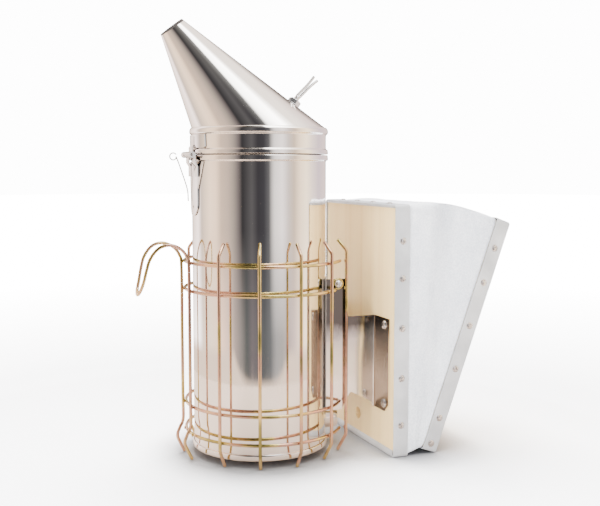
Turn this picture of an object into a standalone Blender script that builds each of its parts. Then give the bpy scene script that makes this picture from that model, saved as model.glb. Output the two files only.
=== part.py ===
"""Bee smoker: a steel fire pot with a hinged funnel lid, a wire heat guard and leather bellows.

Units are metres, +Z is up.  The origin is the centre of the pot's underside, on the pot's axis.
The bellows lie toward +X; the funnel's mouth, the lid hinge and the hanging hook lie toward -X.
The whole smoker is symmetric about the XZ plane, apart from the small wire stop beside the hinge.
"""
import math

import bmesh
import bpy
from mathutils import Matrix, Vector

# Driving dimensions
POT_RADIUS = 0.051
POT_HEIGHT = 0.2226
SHEET = 0.0008
SEAM_RADIUS = 0.0526
FLOOR = -0.005
GAP = 0.0003
ROUND_STEPS = 48

# Lid: a short collar under a leaning cone
COLLAR_BOTTOM = POT_HEIGHT + 0.0005
COLLAR_TOP = 0.243
CONE_BASE = COLLAR_TOP + GAP
CONE_RADIUS = 0.0508
MOUTH_CENTRE = Vector((-0.067, 0.0, 0.315))
MOUTH_RADIUS = 0.0096
MOUTH_ELEVATION = math.radians(52.0)

# Lid hinge
PIN_X = -0.0554
PIN_Z = 0.2226
PIN_RADIUS = 0.0011
KNUCKLE_RADIUS = 0.0023
KNUCKLE_HALF = 0.0043
HINGE_HALF = 0.012
STRAP_OUTER = POT_RADIUS + GAP + SHEET

# Air inlet and fire grate
INLET_Z = 0.0145
INLET_RADIUS = 0.0095
INLET_REACH = 0.0625
GRATE_Z = 0.030
GRATE_RADIUS = 0.0475

# Heat guard of bent wire, set slightly toward the bellows
WIRE = 0.00125
GUARD_X = 0.003
UPRIGHT_RADIUS = 0.0628
RING_RADIUS = UPRIGHT_RADIUS - 2 * WIRE - GAP
RING_HEIGHTS = (0.143, 0.122, 0.035, 0.014)
RING_END = math.radians(33.5)
UPRIGHT_ANGLES = (56.0, 84.0, 112.0, 140.0)
UPRIGHT_TOP = 0.1505
UPRIGHT_KNEE = 0.008
TIP_RISE = 0.0085
TIP_INWARD = 0.007
FOOT_INWARD = 0.0065
FOOT_TIP = FLOOR + 0.0006
END_UPRIGHT = (0.0584, 0.0333)
LEG_HALF = 0.0109

# Bellows bracket
WALL_Y = 0.031
BRACKET_TOP = 0.129
BRACKET_LOW = 0.0275
BRACKET_STEP = 0.0995
TAB_END = 0.0597
FLANGE_HALF = 0.055
BOARD_SCREW_Y = 0.048
BOARD_SCREW_HEIGHTS = (0.0942, 0.0335)
EYE_X = 0.0516
EYE_RADIUS = 0.0033

# Bellows boards
BOARD_X = 0.0846
BOARD_THICK = 0.0107
STRIP_THICK = 0.0019
BOARD_HALF = 0.064
FRONT_HEIGHT = 0.191
REAR_HEIGHT = 0.187
REAR_TILT = math.radians(20.0)
REAR_FOOT_X = 0.1093
AIR_HOLE_Z = 0.0139
AIR_HOLE_RADIUS = 0.0047
LEATHER = 0.0012


for leftover in list(bpy.data.objects):
    bpy.data.objects.remove(leftover, do_unlink=True)

parts = bpy.data.collections.new("bee_smoker")
cutters = bpy.data.collections.new("cutters")
bpy.context.scene.collection.children.link(parts)
bpy.context.scene.collection.children.link(cutters)


def finish(name, colour, metallic, roughness):
    """A Principled material of one colour."""
    made = bpy.data.materials.new(name)
    made.use_nodes = True
    shader = made.node_tree.nodes["Principled BSDF"]
    shader.inputs["Base Color"].default_value = (*colour, 1.0)
    shader.inputs["Metallic"].default_value = metallic
    shader.inputs["Roughness"].default_value = roughness
    return made


MIRROR_STEEL = ((0.80, 0.77, 0.74), 1.0, 0.08)
ZINC_WIRE = ((0.72, 0.62, 0.42), 1.0, 0.25)
BRIGHT_ZINC = ((0.78, 0.78, 0.77), 1.0, 0.22)
SPRING_STEEL = ((0.35, 0.35, 0.36), 1.0, 0.35)
GREY_STRIP = ((0.62, 0.64, 0.64), 0.9, 0.38)
BIRCH = ((0.80, 0.64, 0.44), 0.0, 0.55)
WHITE_LEATHER = ((0.83, 0.84, 0.86), 0.0, 0.62)


def place(obj, look, collection=parts):
    """Links an object into a collection and gives it a material named for it."""
    for old in list(obj.users_collection):
        old.objects.unlink(obj)
    collection.objects.link(obj)
    if look:
        obj.data.materials.clear()
        obj.data.materials.append(finish(obj.name + "_finish", *look))
    return obj


def mesh_object(name, shape, look, collection=parts):
    """Turns a bmesh into a linked object."""
    mesh = bpy.data.meshes.new(name)
    shape.to_mesh(mesh)
    shape.free()
    return place(bpy.data.objects.new(name, mesh), look, collection)


def as_cutter(obj):
    """Marks an object as a tool that other shapes are cut with."""
    obj.hide_render = True
    obj.display_type = "WIRE"
    return obj


def combine(obj, other, operation):
    """Adds a Boolean modifier."""
    modifier = obj.modifiers.new(operation.lower(), "BOOLEAN")
    modifier.operation = operation
    modifier.object = other
    return obj


def turned(name, profile, look, closed=True, steps=ROUND_STEPS, collection=parts):
    """A shape turned about Z from (radius, height) points that run down the outer side."""
    shape = bmesh.new()
    verts = [shape.verts.new((radius, 0.0, height)) for radius, height in profile]
    for first, second in zip(verts, verts[1:]):
        shape.edges.new((first, second))
    if closed:
        shape.edges.new((verts[-1], verts[0]))
    obj = mesh_object(name, shape, look, collection)
    screw = obj.modifiers.new("turn", "SCREW")
    screw.axis = "Z"
    screw.angle = 2 * math.pi
    screw.steps = steps
    screw.render_steps = steps
    screw.use_merge_vertices = True
    screw.merge_threshold = 0.00001
    screw.use_smooth_shade = True
    return obj


def box(name, low, high, look=None, collection=parts):
    """A box between two corners."""
    low, high = Vector(low), Vector(high)
    shape = bmesh.new()
    size = Matrix.Diagonal((high - low).to_4d())
    bmesh.ops.create_cube(shape, size=1.0, matrix=Matrix.Translation((low + high) / 2) @ size)
    return mesh_object(name, shape, look, collection)


def rod(name, start, end, radius, look=None, sides=16, collection=parts):
    """A plain round bar between two points."""
    start, end = Vector(start), Vector(end)
    along = end - start
    turn = along.to_track_quat("Z", "Y").to_matrix().to_4x4()
    shape = bmesh.new()
    bmesh.ops.create_cone(shape, cap_ends=True, segments=sides, radius1=radius, radius2=radius,
                          depth=along.length, matrix=Matrix.Translation((start + end) / 2) @ turn)
    return mesh_object(name, shape, look, collection)


def arc(centre, radius, start, end, steps):
    """Points on an arc in a plane, angles in radians."""
    return [(centre[0] + radius * math.cos(start + (end - start) * i / steps),
             centre[1] + radius * math.sin(start + (end - start) * i / steps))
            for i in range(steps + 1)]


def bent(corners, radius, steps=4):
    """A run of straight stretches whose inner corners are rounded like bent wire."""
    corners = [Vector(corner) for corner in corners]
    route = [corners[0]]
    for before, corner, after in zip(corners, corners[1:], corners[2:]):
        back, ahead = (before - corner).normalized(), (after - corner).normalized()
        half = back.angle(ahead) / 2
        reach = radius / math.tan(half)
        centre = corner + (back + ahead).normalized() * radius / math.sin(half)
        first = (corner + back * reach - centre).normalized()
        last = (corner + ahead * reach - centre).normalized()
        for i in range(steps + 1):
            route.append(centre + radius * first.slerp(last, i / steps))
    route.append(corners[-1])
    return route


def smooth(knots, steps=4):
    """A Catmull-Rom curve through every knot."""
    knots = [Vector(knot) for knot in knots]
    padded = [2 * knots[0] - knots[1], *knots, 2 * knots[-1] - knots[-2]]
    route = []
    for a, b, c, d in zip(padded, padded[1:], padded[2:], padded[3:]):
        for i in range(steps):
            t = i / steps
            route.append(0.5 * (2 * b + (c - a) * t + (2 * a - 5 * b + 4 * c - d) * t * t
                                + (3 * b - a - 3 * c + d) * t ** 3))
    route.append(knots[-1])
    return route


def wire(name, route, radius, look):
    """A round wire along a route, with flat ends."""
    curve = bpy.data.curves.new(name, "CURVE")
    curve.dimensions = "3D"
    curve.bevel_depth = radius
    curve.bevel_resolution = 2
    curve.use_fill_caps = True
    spline = curve.splines.new("POLY")
    spline.points.add(len(route) - 1)
    for point, spot in zip(spline.points, route):
        point.co = (*spot, 1.0)
    return place(bpy.data.objects.new(name, curve), look)


def prism(name, outline, half, turn, collection=cutters):
    """A flat outline made solid, half its thickness to each side, then turned into place."""
    curve = bpy.data.curves.new(name + "_outline", "CURVE")
    curve.dimensions = "2D"
    curve.fill_mode = "BOTH"
    curve.extrude = half
    spline = curve.splines.new("POLY")
    spline.points.add(len(outline) - 1)
    spline.use_cyclic_u = True
    for point, spot in zip(spline.points, outline):
        point.co = (spot[0], spot[1], 0.0, 1.0)
    flat = bpy.data.objects.new(name + "_outline", curve)
    bpy.context.scene.collection.objects.link(flat)
    flat.matrix_world = turn
    bpy.context.view_layer.update()
    seen = flat.evaluated_get(bpy.context.evaluated_depsgraph_get())
    mesh = bpy.data.meshes.new_from_object(seen)
    mesh.name = name
    solid = bpy.data.objects.new(name, mesh)
    solid.matrix_world = flat.matrix_world
    bpy.data.objects.remove(flat)
    shape = bmesh.new()
    shape.from_mesh(mesh)
    bmesh.ops.remove_doubles(shape, verts=shape.verts, dist=0.00001)
    bmesh.ops.recalc_face_normals(shape, faces=shape.faces)
    shape.to_mesh(mesh)
    shape.free()
    return place(solid, None, collection)


# Turns that lay an outline's (x, y) on the model's planes
ON_XY = Matrix.Identity(4)
ON_XZ = Matrix(((1, 0, 0, 0), (0, 0, -1, 0), (0, 1, 0, 0), (0, 0, 0, 1)))
ON_YZ = Matrix(((0, 0, 1, 0), (1, 0, 0, 0), (0, 1, 0, 0), (0, 0, 0, 1)))


def paint(obj, look):
    """Gives a solid that was made without a look its material."""
    return place(obj, look, parts)


# Fire pot -------------------------------------------------------------------------------------

inner = POT_RADIUS - SHEET
pot_body = turned("pot_body", [
    (inner, POT_HEIGHT - 0.0006), (inner + 0.0006, POT_HEIGHT), (SEAM_RADIUS - 0.0006, POT_HEIGHT),
    (SEAM_RADIUS, POT_HEIGHT - 0.0007), (SEAM_RADIUS, POT_HEIGHT - 0.0034),
    (SEAM_RADIUS - 0.0006, POT_HEIGHT - 0.0041), (POT_RADIUS, POT_HEIGHT - 0.0043),
    (POT_RADIUS, 0.0013), (inner, 0.0013)], MIRROR_STEEL)
inlet_cutter = as_cutter(rod("inlet_cutter", (0.040, 0, INLET_Z), (0.060, 0, INLET_Z),
                             INLET_RADIUS + GAP, collection=cutters))
combine(pot_body, inlet_cutter, "DIFFERENCE")

turned("pot_base", [
    (0, 0.001), (POT_RADIUS + GAP, 0.001), (POT_RADIUS + GAP, 0.0042), (POT_RADIUS + 0.0007, 0.0046),
    (POT_RADIUS + 0.0011, 0.0042), (POT_RADIUS + 0.0011, 0.0005), (POT_RADIUS + 0.0006, 0), (0, 0)],
    MIRROR_STEEL, closed=False)

inlet_tube = turned("inlet_tube", [
    (INLET_RADIUS - SHEET, INLET_REACH), (INLET_RADIUS, INLET_REACH),
    (INLET_RADIUS, 0.0475), (INLET_RADIUS - SHEET, 0.0475)], MIRROR_STEEL, steps=24)
inlet_tube.rotation_euler = (0, math.radians(90), 0)
inlet_tube.location = (0, 0, INLET_Z)

# Fire grate: a perforated plate on three feet, above the air inlet
grate = turned("fire_grate", [(0, GRATE_Z + 0.001), (GRATE_RADIUS, GRATE_Z + 0.001),
                              (GRATE_RADIUS, GRATE_Z), (0, GRATE_Z)],
               SPRING_STEEL, closed=False, steps=32)
for ring_radius, count in ((0.014, 6), (0.030, 12)):
    for index in range(count):
        turn = 2 * math.pi * (index + 0.5) / count
        spot = Vector((ring_radius * math.cos(turn), ring_radius * math.sin(turn), GRATE_Z))
        hole = rod(f"grate_hole_{count}_{index + 1}", spot - Vector((0, 0, 0.003)),
                   spot + Vector((0, 0, 0.004)), 0.0032, sides=10, collection=cutters)
        combine(grate, as_cutter(hole), "DIFFERENCE")
for index in range(3):
    turn = math.radians(60 + 120 * index)
    out = Vector((math.cos(turn), math.sin(turn), 0))
    wire(f"grate_foot_{index + 1}",
         bent([out * 0.033 + Vector((0, 0, 0.0026)), out * 0.043 + Vector((0, 0, 0.0026)),
               out * 0.043 + Vector((0, 0, GRATE_Z - GAP))], 0.003), 0.0012, SPRING_STEEL)


# Lid: collar, leaning cone and finger lift -----------------------------------------------------

turned("lid_collar", [
    (inner, COLLAR_TOP - 0.001), (inner + 0.0006, COLLAR_TOP), (SEAM_RADIUS - 0.001, COLLAR_TOP),
    (SEAM_RADIUS, COLLAR_TOP - 0.0016), (SEAM_RADIUS, COLLAR_TOP - 0.0043),
    (SEAM_RADIUS - 0.0008, COLLAR_TOP - 0.0052), (POT_RADIUS, COLLAR_TOP - 0.0055),
    (POT_RADIUS, COLLAR_BOTTOM + 0.0036), (SEAM_RADIUS - 0.0006, COLLAR_BOTTOM + 0.0032),
    (SEAM_RADIUS, COLLAR_BOTTOM + 0.0025), (SEAM_RADIUS, COLLAR_BOTTOM + 0.0007),
    (SEAM_RADIUS - 0.0006, COLLAR_BOTTOM), (inner, COLLAR_BOTTOM)], MIRROR_STEEL)

mouth_out = Vector((-math.cos(MOUTH_ELEVATION), 0, math.sin(MOUTH_ELEVATION)))
mouth_up = Vector((math.sin(MOUTH_ELEVATION), 0, math.cos(MOUTH_ELEVATION)))


def cone_point(turn, rise):
    """A point on the leaning cone: turn about the axis, rise from 0 at the base to 1 at the mouth."""
    base = Vector((CONE_RADIUS * math.cos(turn), CONE_RADIUS * math.sin(turn), CONE_BASE))
    mouth = MOUTH_CENTRE + MOUTH_RADIUS * (math.cos(turn) * mouth_up + math.sin(turn) * Vector((0, 1, 0)))
    return base.lerp(mouth, rise)


CONE_ROWS = 5
cone = bmesh.new()
rows = [[cone.verts.new(cone_point(2 * math.pi * i / ROUND_STEPS, row / CONE_ROWS))
         for i in range(ROUND_STEPS)] for row in range(CONE_ROWS + 1)]
for lower, upper in zip(rows, rows[1:]):
    for i in range(ROUND_STEPS):
        after = (i + 1) % ROUND_STEPS
        cone.faces.new((lower[i], lower[after], upper[after], upper[i])).smooth = True
lid_cone = mesh_object("lid_cone", cone, MIRROR_STEEL)
skin = lid_cone.modifiers.new("sheet", "SOLIDIFY")
skin.thickness = SHEET
skin.offset = -1
skin.use_even_offset = True

# The finger lift stands on the cone's long back
lift_base = cone_point(0, 0.22)
ridge = (cone_point(0, 0.3) - cone_point(0, 0.1)).normalized()
lift_up = Vector((-ridge.z, 0, ridge.x))
if lift_up.z < 0:
    lift_up = -lift_up


def stand_on_cone(obj, height):
    """Stands a turned piece on the cone's back, a height above its skin."""
    obj.rotation_mode = "QUATERNION"
    obj.rotation_quaternion = lift_up.to_track_quat("Z", "Y")
    obj.location = lift_base + lift_up * height


stand_on_cone(turned("lift_stud", [
    (0, 0.0065), (0.0016, 0.0065), (0.002, 0.0061), (0.002, 0.0012), (0.0045, 0.001), (0.0048, 0.0004),
    (0.0048, 0), (0, 0)], BRIGHT_ZINC, closed=False, steps=16), GAP)
nut = turned("lift_nut", [(0.0023, 0.0032), (0.0042, 0.0032), (0.0042, 0), (0.0023, 0)],
             BRIGHT_ZINC, steps=6)
nut.modifiers["turn"].use_smooth_shade = False
stand_on_cone(nut, 0.0016 + GAP)
lift_lean = Vector((0.72, 0, 0.694))
lift_side = Vector((lift_lean.z, 0, -lift_lean.x))
lift_foot = lift_base + lift_up * 0.0088
lift_half = [(0.0212, 0.0030), (0.018, 0.0020), (0.013, 0.00105), (0.006, 0.00105), (0.0022, 0.0011),
             (0.0004, 0.0009)]
lift_route = [lift_foot + lift_lean * reach - lift_side * aside for reach, aside in lift_half]
lift_route += [lift_foot - lift_lean * 0.0002]
lift_route += [lift_foot + lift_lean * reach + lift_side * aside for reach, aside in reversed(lift_half)]
wire("lift_wire", lift_route, 0.0008, BRIGHT_ZINC)


# Lid hinge ------------------------------------------------------------------------------------

def hinge_leaf(name, outline, knuckles, arm_low, arm_high, foot_low, foot_high):
    """A leaf bent round the pot, with arms that carry its knuckles clear of the seams."""
    low = min(height for _, height in outline) - 0.002
    high = max(height for _, height in outline) + 0.002
    band = turned(name, [(POT_RADIUS + GAP, high), (STRAP_OUTER, high), (STRAP_OUTER, low),
                         (POT_RADIUS + GAP, low)], None)
    shape_tool = prism(name + "_outline", outline, 0.030,
                       Matrix.Translation((-0.060, 0, 0)) @ ON_YZ)
    combine(band, as_cutter(shape_tool), "INTERSECT")
    for index, (start, end) in enumerate(knuckles):
        barrel = rod(f"{name}_barrel_{index + 1}", (PIN_X, start, PIN_Z), (PIN_X, end, PIN_Z),
                     KNUCKLE_RADIUS, collection=cutters)
        arm = box(f"{name}_arm_{index + 1}", (-0.0539, start + 0.0001, arm_low),
                  (-0.0531, end - 0.0001, arm_high), collection=cutters)
        foot = box(f"{name}_foot_{index + 1}", (-0.0538, start + 0.0002, foot_low),
                   (-0.0500, end - 0.0002, foot_high), collection=cutters)
        inside = turned(f"{name}_clear_{index + 1}", [
            (0, foot_high + 0.001), (POT_RADIUS + 0.0006, foot_high + 0.001),
            (POT_RADIUS + 0.0006, foot_low - 0.001), (0, foot_low - 0.001)], None, closed=False,
            collection=cutters)
        combine(foot, as_cutter(inside), "DIFFERENCE")
        for piece in (arm, barrel, foot):
            combine(band, as_cutter(piece), "UNION")
    bore = rod(name + "_bore", (PIN_X, -0.03, PIN_Z), (PIN_X, 0.03, PIN_Z), PIN_RADIUS + GAP,
               sides=12, collection=cutters)
    combine(band, as_cutter(bore), "DIFFERENCE")
    return paint(band, MIRROR_STEEL)


strap_side = [(0.017, 0.2176), (0.0135, 0.2076), (0.0092, 0.197), (0.0088, 0.188)]
strap_outline = [(-y, z) for y, z in strap_side]
strap_outline += [(y, z) for y, z in arc((0, 0.186), 0.0088, math.pi, 2 * math.pi, 8)]
strap_outline += list(reversed(strap_side))
hinge_leaf("hinge_strap", strap_outline,
           [(-HINGE_HALF, -KNUCKLE_HALF - GAP), (KNUCKLE_HALF + GAP, HINGE_HALF)],
           0.2065, PIN_Z - 0.0006, 0.2065, 0.2095)
leaf_outline = [(-0.019, 0.2372), (-0.0194, 0.2276), (-0.017, 0.2269), (0.017, 0.2269),
                (0.0194, 0.2276), (0.019, 0.2372)]
hinge_leaf("hinge_leaf", leaf_outline, [(-KNUCKLE_HALF, KNUCKLE_HALF)],
           PIN_Z + 0.0006, 0.2318, 0.2290, 0.2318)
rod("hinge_pin", (PIN_X, -HINGE_HALF - 0.0015, PIN_Z), (PIN_X, HINGE_HALF + 0.0015, PIN_Z),
    PIN_RADIUS, BRIGHT_ZINC, sides=12)

# The wire stop springs from the strap and ends in a curl that the opened lid comes down on
stop_curl = [Vector((-0.0628 - 0.0026 * math.sin(turn), 0.0155, 0.2215 - 0.0026 * math.cos(turn)))
             for turn in [math.radians(-75 + 33 * i) for i in range(10)]]
wire("lid_stop_wire", [Vector((-0.0530, 0.0098, 0.188)), Vector((-0.0534, 0.0110, 0.197)),
                       Vector((-0.0569, 0.0134, 0.210))] + stop_curl, 0.0005, BRIGHT_ZINC)


# Heat guard -----------------------------------------------------------------------------------

def ring_route(height):
    """An open ring whose two ends stop beside the bracket's walls."""
    return [Vector((x, y, height)) for x, y in
            arc((GUARD_X, 0), RING_RADIUS, RING_END, 2 * math.pi - RING_END, 36)]


def eyed_route(height):
    """An open ring whose ends close into an eye round the bracket's side screws."""
    ring = [Vector((x, y, height)) for x, y in
            arc((GUARD_X, 0), RING_RADIUS, math.radians(47), math.radians(313), 34)]
    eye_y = WALL_Y + SHEET / 2 + GAP + WIRE
    eye = [Vector((EYE_X + EYE_RADIUS * math.sin(turn), eye_y, height + EYE_RADIUS * (1 - math.cos(turn))))
           for turn in [math.radians(290 - 36 * i) for i in range(9)]]
    eye.append(Vector((EYE_X - 0.0048, eye_y + 0.0006, height)))
    mirrored = [Vector((spot.x, -spot.y, spot.z)) for spot in reversed(eye)]
    return eye + ring + mirrored


for index, height in enumerate(RING_HEIGHTS):
    wire(f"guard_ring_{index + 1}", eyed_route(height) if index == 1 else ring_route(height),
         WIRE, ZINC_WIRE)


def upright(name, x, y):
    """A guard wire with its top bent in over the ring and its foot bent in on the ground."""
    inward = Vector((GUARD_X - x, -y, 0)).normalized()
    stand = Vector((x, y, 0))
    wire(name, bent([
        stand + inward * TIP_INWARD + Vector((0, 0, UPRIGHT_TOP + TIP_RISE)),
        stand + Vector((0, 0, UPRIGHT_TOP)), stand + Vector((0, 0, UPRIGHT_KNEE)),
        stand + inward * FOOT_INWARD + Vector((0, 0, FOOT_TIP))], 0.004), WIRE, ZINC_WIRE)


uprights = [END_UPRIGHT]
for degrees in UPRIGHT_ANGLES:
    turn = math.radians(degrees)
    uprights.append((GUARD_X + UPRIGHT_RADIUS * math.cos(turn), UPRIGHT_RADIUS * math.sin(turn)))
for index, (x, y) in enumerate(uprights):
    upright(f"guard_upright_left_{index + 1}", x, y)
    upright(f"guard_upright_right_{index + 1}", x, -y)

# The hook is one wire: two legs that stand in the guard, joined by the hook over the rear
leg_x = GUARD_X - math.sqrt(UPRIGHT_RADIUS ** 2 - LEG_HALF ** 2)
hook_half = [
    (-0.0010, LEG_HALF, FOOT_TIP), (0.0022, LEG_HALF, 0.0020), (0.0046, LEG_HALF, 0.0088),
    (0.0026, LEG_HALF, 0.0150), (0.0, LEG_HALF, 0.0215), (0.0, LEG_HALF, 0.0400), (0.0, LEG_HALF, 0.0900),
    (0.0, LEG_HALF, 0.1380), (0.0014, 0.0111, 0.1475), (0.0065, 0.0116, 0.1540), (0.0145, 0.0120, 0.1570),
    (0.0225, 0.0116, 0.1548), (0.0285, 0.0106, 0.1475), (0.0312, 0.0096, 0.1390), (0.0332, 0.0082, 0.1300),
    (0.0352, 0.0054, 0.1232)]
hook_knots = [Vector((leg_x - out, y, z)) for out, y, z in hook_half]
hook_knots += [Vector((leg_x - 0.0361, 0, 0.1203))]
hook_knots += [Vector((leg_x - out, -y, z)) for out, y, z in reversed(hook_half)]
wire("guard_hook", smooth(hook_knots, 3), WIRE, ZINC_WIRE)


# Bellows bracket ------------------------------------------------------------------------------

half = SHEET / 2
hug = POT_RADIUS + GAP
hug_turn = math.asin((WALL_Y - half) / hug)
outer_turn = math.asin((WALL_Y - half) / (hug + SHEET))
plan_far = [(0.0838, WALL_Y + half), (0.0838, FLANGE_HALF), (0.0838 + SHEET * 0.5, FLANGE_HALF),
            (0.0838 + SHEET * 0.5, WALL_Y - half)]
hug_x = math.sqrt(hug ** 2 - (WALL_Y + half) ** 2)
plan = arc((0, 0), hug, -hug_turn, hug_turn, 12)
plan += [(hug_x, WALL_Y + half)] + plan_far
plan += arc((0, 0), hug + SHEET, outer_turn, -outer_turn, 12)
plan += [(x, -y) for x, y in reversed(plan_far)] + [(hug_x, -WALL_Y - half)]
folded = prism("bellows_bracket", plan, (BRACKET_TOP - BRACKET_LOW) / 2 + 0.002,
               Matrix.Translation((0, 0, (BRACKET_TOP + BRACKET_LOW) / 2)) @ ON_XY, collection=parts)
side = [(0.030, BRACKET_LOW), (0.0555, BRACKET_LOW)]
side += arc((0.0645, 0.0375), 0.003, math.radians(170), math.radians(100), 4)
side += [(0.081, 0.0312), (0.0822, BRACKET_LOW), (0.090, BRACKET_LOW), (0.090, BRACKET_STEP)]
side += arc((TAB_END + 0.003, BRACKET_STEP + 0.003), 0.003, math.radians(270), math.radians(180), 4)
side += arc((TAB_END - 0.003, BRACKET_TOP - 0.003), 0.003, 0, math.radians(90), 4)
side += [(0.030, BRACKET_TOP)]
side_tool = as_cutter(prism("bracket_side_outline", side, 0.070, ON_XZ))
combine(folded, side_tool, "INTERSECT")
for name, sign in (("left", 1), ("right", -1)):
    eye_bore = rod(f"bracket_side_bore_{name}", (EYE_X, sign * 0.028, RING_HEIGHTS[1] + EYE_RADIUS),
                   (EYE_X, sign * 0.034, RING_HEIGHTS[1] + EYE_RADIUS), 0.0017 + GAP, sides=12,
                   collection=cutters)
    combine(folded, as_cutter(eye_bore), "DIFFERENCE")
paint(folded, MIRROR_STEEL)


def dome_screw(name, head_radius, head_height, shank, spot, direction, length):
    """A dome-headed screw; its head's flat side sits on the spot and its shank runs back from it."""
    dome = [(head_radius * math.sin(t), head_height * math.cos(t))
            for t in [math.radians(18 * i) for i in range(6)]]
    dome[0] = (0, head_height)
    obj = turned(name, dome + [(shank, 0), (shank, -length), (0, -length)], BRIGHT_ZINC,
                 closed=False, steps=16)
    obj.rotation_mode = "QUATERNION"
    obj.rotation_quaternion = Vector(direction).to_track_quat("Z", "Y")
    obj.location = spot
    return obj


eye_head_y = WALL_Y + half + 2 * WIRE + 2 * GAP
for name, sign in (("left", 1), ("right", -1)):
    dome_screw(f"guard_screw_{name}", 0.0030, 0.0018, 0.0017,
               (EYE_X, sign * eye_head_y, RING_HEIGHTS[1] + EYE_RADIUS), (0, sign, 0), 0.0055)


# Front board of the bellows -------------------------------------------------------------------

def board(name, height, look):
    """A plain board in its own frame: inner face at x = 0, underside at z = 0."""
    inset = STRIP_THICK + GAP
    return box(name, (-BOARD_THICK, -BOARD_HALF + inset, inset), (0, BOARD_HALF - inset, height - inset),
               look)


def edge_strip(name, height):
    """The flat metal strip that is nailed round a board's edge, over the leather's hem."""
    frame = box(name, (-BOARD_THICK - 0.0003, -BOARD_HALF, 0), (0.0006, BOARD_HALF, height), GREY_STRIP)
    hollow = box(name + "_hollow", (-0.05, -BOARD_HALF + STRIP_THICK, STRIP_THICK),
                 (0.05, BOARD_HALF - STRIP_THICK, height - STRIP_THICK), collection=cutters)
    combine(frame, as_cutter(hollow), "DIFFERENCE")
    rounding = frame.modifiers.new("corner", "BEVEL")
    rounding.width = 0.0005
    rounding.segments = 1
    rounding.limit_method = "ANGLE"
    return frame, hollow


front_place = Matrix.Translation((BOARD_X + BOARD_THICK, 0, FLOOR))
front_board = board("front_board", FRONT_HEIGHT, BIRCH)
front_board.matrix_world = front_place
air_cutter = as_cutter(rod("air_hole_cutter", (0.070, 0, AIR_HOLE_Z), (0.110, 0, AIR_HOLE_Z),
                           AIR_HOLE_RADIUS, sides=24, collection=cutters))
combine(front_board, air_cutter, "DIFFERENCE")
for piece in edge_strip("front_strip", FRONT_HEIGHT):
    piece.matrix_world = front_place

for side_name, sign in (("left", 1), ("right", -1)):
    for row, height in enumerate(BOARD_SCREW_HEIGHTS):
        pilot = rod(f"board_pilot_{side_name}_{row + 1}", (0.080, sign * BOARD_SCREW_Y, height),
                    (0.0925, sign * BOARD_SCREW_Y, height), 0.0016 + GAP, sides=12, collection=cutters)
        combine(front_board, as_cutter(pilot), "DIFFERENCE")
        combine(folded, pilot, "DIFFERENCE")
        dome_screw(f"board_screw_{side_name}_{row + 1}", 0.0034, 0.0019, 0.0016,
                   (0.0838 - GAP, sign * BOARD_SCREW_Y, height), (-1, 0, 0), 0.0085)

# Rear board, which tips about the leather fold at the foot of the bellows ---------------------

rear_foot_z = FLOOR + (BOARD_THICK + 0.0003) * math.sin(REAR_TILT)
rear_place = (Matrix.Translation((REAR_FOOT_X, 0, rear_foot_z)) @ Matrix.Rotation(REAR_TILT, 4, "Y")
              @ Matrix.Rotation(math.pi, 4, "Z"))
rear_board = board("rear_board", REAR_HEIGHT, BIRCH)
rear_board.matrix_world = rear_place
for piece in edge_strip("rear_strip", REAR_HEIGHT):
    piece.matrix_world = rear_place

# Leather gusset: a sleeve from one board to the other, crowned between them --------------------

SLEEVE_INSET = 0.0008
SLEEVE_ROWS = 4


def sleeve_loop(share):
    """The sleeve's outline at a share of the way from the front board to the rear one."""
    start = Vector((BOARD_X + BOARD_THICK + 0.0006 + GAP, 0, 0))
    bulge = math.sin(math.pi * share)
    corners = []
    for y_sign, top in ((1, 0), (1, 1), (-1, 1), (-1, 0)):
        front_z = FLOOR + (FRONT_HEIGHT - SLEEVE_INSET if top else SLEEVE_INSET)
        front_spot = Vector((start.x, y_sign * (BOARD_HALF - SLEEVE_INSET), front_z))
        rear_z = REAR_HEIGHT - SLEEVE_INSET if top else SLEEVE_INSET
        rear_spot = rear_place @ Vector((0.0006 + GAP, -y_sign * (BOARD_HALF - SLEEVE_INSET), rear_z))
        spot = front_spot.lerp(rear_spot, share)
        if top:
            spot.z += 0.0055 * bulge
        corners.append(spot)
    loop = []
    for first, second in zip(corners, corners[1:] + corners[:1]):
        steps = 6 if abs(first.z - second.z) > 0.05 else 4
        for i in range(steps):
            spot = first.lerp(second, i / steps)
            loop.append(spot)
    return loop


sleeve = bmesh.new()
loops = [[sleeve.verts.new(spot) for spot in sleeve_loop(row / SLEEVE_ROWS)]
         for row in range(SLEEVE_ROWS + 1)]
for lower, upper in zip(loops, loops[1:]):
    for i in range(len(lower)):
        after = (i + 1) % len(lower)
        sleeve.faces.new((lower[i], upper[i], upper[after], lower[after]))
bmesh.ops.recalc_face_normals(sleeve, faces=sleeve.faces)
gusset = mesh_object("bellows_leather", sleeve, WHITE_LEATHER)
hide = gusset.modifiers.new("hide", "SOLIDIFY")
hide.thickness = LEATHER
hide.offset = -1
hide.use_even_offset = True

# Bellows spring: a wire hairpin that pushes the boards apart -----------------------------------

front_face = BOARD_X + BOARD_THICK + 0.0022
spring_front = [(front_face, 0.016, 0.120), (front_face, 0.016, 0.080), (front_face + 0.0006, 0.012, 0.035)]
spring_turn = [(0.1005, 0.006, 0.0200), (0.1045, 0.0, 0.0150), (0.1105, -0.004, 0.0235)]
spring_rear = [rear_place @ Vector(spot) for spot in ((0.0026, -0.010, 0.045), (0.0022, -0.016, 0.085),
                                                      (0.0022, -0.016, 0.125))]
wire("bellows_spring", smooth(spring_front + spring_turn + spring_rear, 4), 0.00125, SPRING_STEEL)
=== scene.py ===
import math

import bmesh
import bpy
from mathutils import Matrix, Vector, noise


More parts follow.
